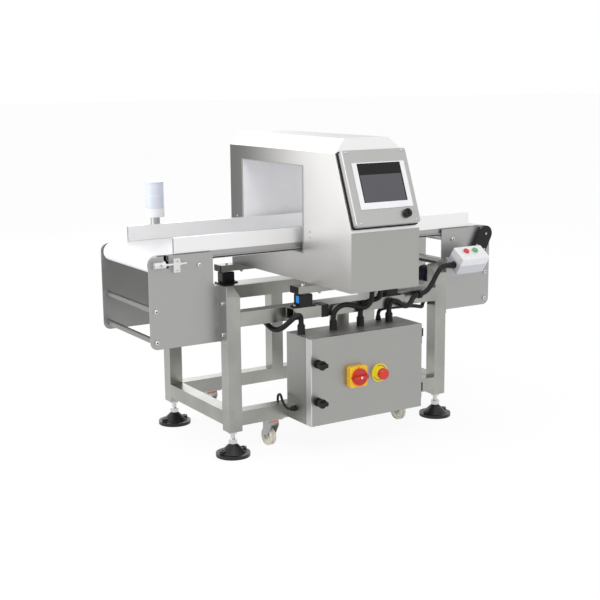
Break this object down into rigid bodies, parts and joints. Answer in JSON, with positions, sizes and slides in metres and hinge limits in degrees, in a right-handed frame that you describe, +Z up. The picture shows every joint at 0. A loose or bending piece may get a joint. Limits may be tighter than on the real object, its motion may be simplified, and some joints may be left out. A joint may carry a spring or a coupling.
{
  "type": "conveyor metal detector",
  "caption": "Belt conveyor carrying packs through a tunnel-type metal detector head, with control box, touch panel and signal lamp on a footed frame.",
  "frame": {"origin": "on the floor under the middle of the belt, midway between the four feet; the centre of the floor anchor pattern", "axes": "+X along the belt from infeed to outfeed, +Y away from the operator side, +Z up"},
  "size_m": [1.452, 0.8464, 1.083],
  "materials": {
    "stainless_tube": "ground stainless steel square tube",
    "stainless_head": "fine brushed stainless steel",
    "stainless_plate": "matt stainless sheet",
    "zinc": "bright zinc plate",
    "bolt_steel": "zinc plated fasteners",
    "aluminium": "extruded aluminium",
    "white_belt": "smooth white food belt",
    "white_plastic": "matt white food-grade plastic",
    "cream_wheel": "cream nylon tyre",
    "black_plastic": "matt black plastic",
    "black_rubber": "black rubber",
    "grey_cover": "light grey moulded cover",
    "screen": "black screen glass",
    "bezel": "white bezel",
    "red_plastic": "red moulded plastic",
    "green_plastic": "green moulded plastic",
    "yellow_plastic": "yellow moulded plastic",
    "lamp_lens": "frosted white lens",
    "motor_paint": "dark blue paint",
    "copper_coil": "potted coil former",
    "equipment_grey": "grey plastic devices",
    "conduit": "black corrugated conduit"
  },
  "bodies": {
    "conveyor": {"arm_end_plugs": "black_plastic", "belt_tensioners": "zinc", "box_equipment": "equipment_grey", "box_shell": "stainless_head", "cable_fittings": "black_plastic", "conveyor_belt": "white_belt", "display_bezel": "bezel", "display_screen": "screen", "drive_cover": "black_plastic", "earth_lead": "conduit", "frame_legs": "stainless_tube", "frame_rails": "stainless_tube", "gaskets": "black_rubber", "gearmotor": "motor_paint", "guide_rails": "aluminium", "head_housing": "stainless_head", "hose_head_power": "conduit", "hose_head_signal": "conduit", "hose_lamp": "conduit", "hose_motor": "conduit", "hose_station": "conduit", "mounting_brackets": "zinc", "panel_cover": "stainless_head", "rods_and_bolts": "bolt_steel", "search_coils": "copper_coil", "side_plates": "stainless_plate", "signal_lamp": "lamp_lens", "slider_bed": "stainless_plate", "station_base": "grey_cover", "station_lid": "white_plastic", "support_arms": "stainless_plate", "timing_belt": "black_rubber", "tunnel_liner": "white_plastic", "vibration_dampers": "black_rubber"},
    "drive_roller": {"drive_roller": "zinc"},
    "tail_roller": {"tail_roller": "zinc"},
    "infeed_snub_roller": {"infeed_snub_roller": "zinc"},
    "outfeed_snub_roller": {"outfeed_snub_roller": "zinc"},
    "motor_pulley": {"motor_pulley": "zinc"},
    "key_switch": {"key_switch": "black_plastic"},
    "stop_button": {"stop_button": "red_plastic"},
    "start_button": {"start_button": "green_plastic"},
    "upper_door_lock": {"upper_door_lock": "black_plastic"},
    "lower_door_lock": {"lower_door_lock": "black_plastic"},
    "main_switch_handle": {"main_switch_handle": "red_plastic"},
    "emergency_stop_head": {"emergency_stop_head": "red_plastic"},
    "door": {"box_door": "stainless_head", "door_fittings": "yellow_plastic"},
    "castor_far_infeed_fork": {"castor_far_infeed_fork": "zinc"},
    "castor_far_infeed_wheel": {"castor_far_infeed_wheel": "cream_wheel"},
    "castor_far_outfeed_fork": {"castor_far_outfeed_fork": "zinc"},
    "castor_far_outfeed_wheel": {"castor_far_outfeed_wheel": "cream_wheel"},
    "castor_near_infeed_fork": {"castor_near_infeed_fork": "zinc"},
    "castor_near_infeed_wheel": {"castor_near_infeed_wheel": "cream_wheel"},
    "castor_near_outfeed_fork": {"castor_near_outfeed_fork": "zinc"},
    "castor_near_outfeed_wheel": {"castor_near_outfeed_wheel": "cream_wheel"},
    "foot_far_infeed": {"foot_far_infeed": "black_plastic"},
    "foot_far_outfeed": {"foot_far_outfeed": "black_plastic"},
    "foot_near_infeed": {"foot_near_infeed": "black_plastic"},
    "foot_near_outfeed": {"foot_near_outfeed": "black_plastic"}
  },
  "joints": [
    {"name": "drive_roller_spin", "type": "hinge", "parent": "conveyor", "child": "drive_roller", "pos_m": [0.6915, 0, 0.6845], "axis": [0, 1, 0], "continuous": true},
    {"name": "tail_roller_spin", "type": "hinge", "parent": "conveyor", "child": "tail_roller", "pos_m": [-0.6915, 0, 0.6845], "axis": [0, 1, 0], "continuous": true},
    {"name": "infeed_snub_spin", "type": "hinge", "parent": "conveyor", "child": "infeed_snub_roller", "pos_m": [-0.5415, 0, 0.6736], "axis": [0, 1, 0], "continuous": true},
    {"name": "outfeed_snub_spin", "type": "hinge", "parent": "conveyor", "child": "outfeed_snub_roller", "pos_m": [0.5415, 0, 0.6736], "axis": [0, 1, 0], "continuous": true},
    {"name": "motor_pulley_spin", "type": "hinge", "parent": "conveyor", "child": "motor_pulley", "pos_m": [0.6348, -0.2007, 0.572], "axis": [0, 1, 0], "continuous": true},
    {"name": "door_hinge", "type": "hinge", "parent": "conveyor", "child": "door", "pos_m": [0.24115, -0.396, 0.2647], "axis": [0, 0, 1], "range_deg": [0, 110]},
    {"name": "upper_lock_turn", "type": "hinge", "parent": "door", "child": "upper_door_lock", "pos_m": [-0.211, -0.412, 0.331], "axis": [0, 1, 0], "range_deg": [0, 90]},
    {"name": "lower_lock_turn", "type": "hinge", "parent": "door", "child": "lower_door_lock", "pos_m": [-0.211, -0.412, 0.198], "axis": [0, 1, 0], "range_deg": [0, 90]},
    {"name": "main_switch_turn", "type": "hinge", "parent": "door", "child": "main_switch_handle", "pos_m": [-0.054, -0.412, 0.268], "axis": [0, 1, 0], "range_deg": [0, 90]},
    {"name": "emergency_stop_push", "type": "slide", "parent": "door", "child": "emergency_stop_head", "axis": [0, 1, 0], "range_m": [0, 0.006]},
    {"name": "key_switch_turn", "type": "hinge", "parent": "conveyor", "child": "key_switch", "pos_m": [0.078, -0.49637, 0.82349], "axis": [0, -0.9323, 0.3616], "range_deg": [0, 90]},
    {"name": "stop_button_push", "type": "slide", "parent": "conveyor", "child": "stop_button", "axis": [0, 0.5592, -0.829], "range_m": [0, 0.003], "stiffness_N_per_m": 600},
    {"name": "start_button_push", "type": "slide", "parent": "conveyor", "child": "start_button", "axis": [0, 0.5592, -0.829], "range_m": [0, 0.003], "stiffness_N_per_m": 600},
    {"name": "foot_far_infeed_level", "type": "slide", "parent": "conveyor", "child": "foot_far_infeed", "axis": [0, 0, -1], "range_m": [-0.02, 0.02]},
    {"name": "foot_far_outfeed_level", "type": "slide", "parent": "conveyor", "child": "foot_far_outfeed", "axis": [0, 0, -1], "range_m": [-0.02, 0.02]},
    {"name": "foot_near_infeed_level", "type": "slide", "parent": "conveyor", "child": "foot_near_infeed", "axis": [0, 0, -1], "range_m": [-0.02, 0.02]},
    {"name": "foot_near_outfeed_level", "type": "slide", "parent": "conveyor", "child": "foot_near_outfeed", "axis": [0, 0, -1], "range_m": [-0.02, 0.02]},
    {"name": "castor_near_infeed_swivel", "type": "hinge", "parent": "conveyor", "child": "castor_near_infeed_fork", "pos_m": [-0.285, -0.231, 0.089], "axis": [0, 0, 1], "continuous": true},
    {"name": "castor_near_infeed_roll", "type": "hinge", "parent": "castor_near_infeed_fork", "child": "castor_near_infeed_wheel", "pos_m": [-0.285, -0.206, 0.0365], "axis": [1, 0, 0], "continuous": true},
    {"name": "castor_far_infeed_swivel", "type": "hinge", "parent": "conveyor", "child": "castor_far_infeed_fork", "pos_m": [-0.285, 0.231, 0.089], "axis": [0, 0, 1], "continuous": true},
    {"name": "castor_far_infeed_roll", "type": "hinge", "parent": "castor_far_infeed_fork", "child": "castor_far_infeed_wheel", "pos_m": [-0.285, 0.256, 0.0365], "axis": [1, 0, 0], "continuous": true},
    {"name": "castor_near_outfeed_swivel", "type": "hinge", "parent": "conveyor", "child": "castor_near_outfeed_fork", "pos_m": [0.285, -0.231, 0.089], "axis": [0, 0, 1], "continuous": true},
    {"name": "castor_near_outfeed_roll", "type": "hinge", "parent": "castor_near_outfeed_fork", "child": "castor_near_outfeed_wheel", "pos_m": [0.285, -0.206, 0.0365], "axis": [1, 0, 0], "continuous": true},
    {"name": "castor_far_outfeed_swivel", "type": "hinge", "parent": "conveyor", "child": "castor_far_outfeed_fork", "pos_m": [0.285, 0.231, 0.089], "axis": [0, 0, 1], "continuous": true},
    {"name": "castor_far_outfeed_roll", "type": "hinge", "parent": "castor_far_outfeed_fork", "child": "castor_far_outfeed_wheel", "pos_m": [0.285, 0.256, 0.0365], "axis": [1, 0, 0], "continuous": true}
  ],
  "couplings": [
    {"joint": "tail_roller_spin", "follows": "drive_roller_spin", "ratio": 1},
    {"joint": "motor_pulley_spin", "follows": "drive_roller_spin", "ratio": 1},
    {"joint": "infeed_snub_spin", "follows": "drive_roller_spin", "ratio": -2.28},
    {"joint": "outfeed_snub_spin", "follows": "drive_roller_spin", "ratio": -2.28}
  ]
}
